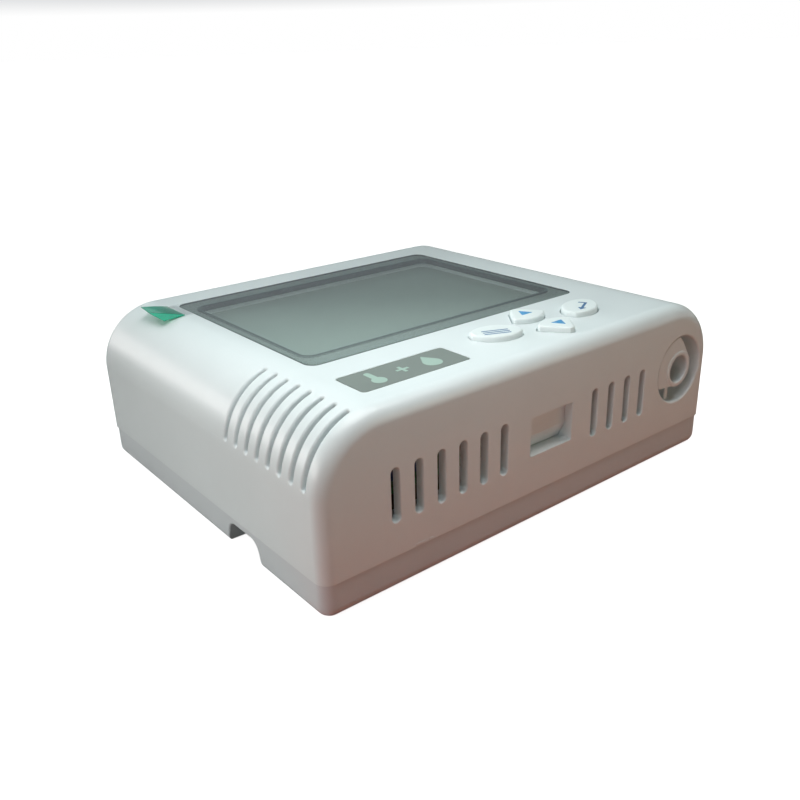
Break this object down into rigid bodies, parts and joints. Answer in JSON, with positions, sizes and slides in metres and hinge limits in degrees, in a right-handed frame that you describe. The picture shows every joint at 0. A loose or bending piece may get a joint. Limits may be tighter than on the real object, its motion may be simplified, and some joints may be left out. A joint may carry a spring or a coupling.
{
  "type": "carbon dioxide monitor",
  "caption": "Wall-mounted air monitor with a display, keypad, air vents, a round cable bushing and a rear wiring channel.",
  "frame": {"origin": "centre of the flat rear face, which lies on the wall or on a table", "axes": "+X to the right and +Y up as the display is read, +Z out of the front face"},
  "size_m": [0.12, 0.1, 0.0418],
  "materials": {
    "case_plastic": "fine satin moulded ABS, cool white",
    "key_plastic": "satin moulded plastic, cool white",
    "lens": "clear acrylic with a grey-green tint, polished",
    "adhesive": "black die-cut adhesive foam",
    "clear_film": "thin clear protective film, glossy",
    "green_film": "translucent green film, glossy",
    "nameplate": "grey plate with pale symbols, semi-gloss",
    "lcd": "polariser, grey-green, semi-gloss",
    "backlight": "milky acrylic light guide",
    "black_plastic": "black moulded plastic",
    "elastomer": "silicone connector strip, pink",
    "board_green": "green solder mask over glass fibre",
    "board_blue": "blue solder mask over glass fibre",
    "terminal_green": "green moulded plastic",
    "steel": "zinc-plated steel",
    "gold_cell": "gold-plated sheet brass",
    "filter": "white porous membrane",
    "sensor_white": "white sensor cap",
    "inductor": "dark grey ferrite",
    "capacitor": "dark blue shrink sleeve"
  },
  "bodies": {
    "case": {"front_shell": "case_plastic", "rear_cover": "case_plastic", "display_lens": "lens", "lens_adhesive": "adhesive", "lens_film": "clear_film", "film_tab": "green_film", "nameplate": "nameplate", "menu_switch": "black_plastic", "up_switch": "black_plastic", "down_switch": "black_plastic", "enter_switch": "black_plastic", "port_blank": "case_plastic", "cable_bushing": "case_plastic", "lcd_glass": "lcd", "lcd_backlight": "backlight", "lcd_holder": "black_plastic", "elastomer_upper": "elastomer", "elastomer_lower": "elastomer", "display_board": "board_green", "board_header": "black_plastic", "board_socket": "black_plastic", "main_board": "board_green", "terminal_block": "terminal_green", "terminal_screws": "steel", "co2_headers": "black_plastic", "co2_board": "board_blue", "co2_cell": "gold_cell", "co2_filter": "filter", "humidity_board": "board_blue", "humidity_sensor": "sensor_white", "processor": "black_plastic", "buzzer": "black_plastic", "power_inductor": "inductor", "capacitor_upper": "capacitor", "capacitor_lower": "capacitor", "case_screws": "steel", "display_screws": "steel", "board_screws": "steel"},
    "menu_button": {"menu_key": "key_plastic", "menu_plunger": "black_plastic"},
    "up_button": {"up_key": "key_plastic", "up_plunger": "black_plastic"},
    "down_button": {"down_key": "key_plastic", "down_plunger": "black_plastic"},
    "enter_button": {"enter_key": "key_plastic", "enter_plunger": "black_plastic"}
  },
  "joints": [
    {"name": "menu_press", "type": "slide", "parent": "case", "child": "menu_button", "axis": [0, 0, -1], "range_m": [0, 0.0005], "stiffness_N_per_m": 600, "springref_m": -0.0008},
    {"name": "up_press", "type": "slide", "parent": "case", "child": "up_button", "axis": [0, 0, -1], "range_m": [0, 0.0005], "stiffness_N_per_m": 600, "springref_m": -0.0008},
    {"name": "down_press", "type": "slide", "parent": "case", "child": "down_button", "axis": [0, 0, -1], "range_m": [0, 0.0005], "stiffness_N_per_m": 600, "springref_m": -0.0008},
    {"name": "enter_press", "type": "slide", "parent": "case", "child": "enter_button", "axis": [0, 0, -1], "range_m": [0, 0.0005], "stiffness_N_per_m": 600, "springref_m": -0.0008}
  ]
}
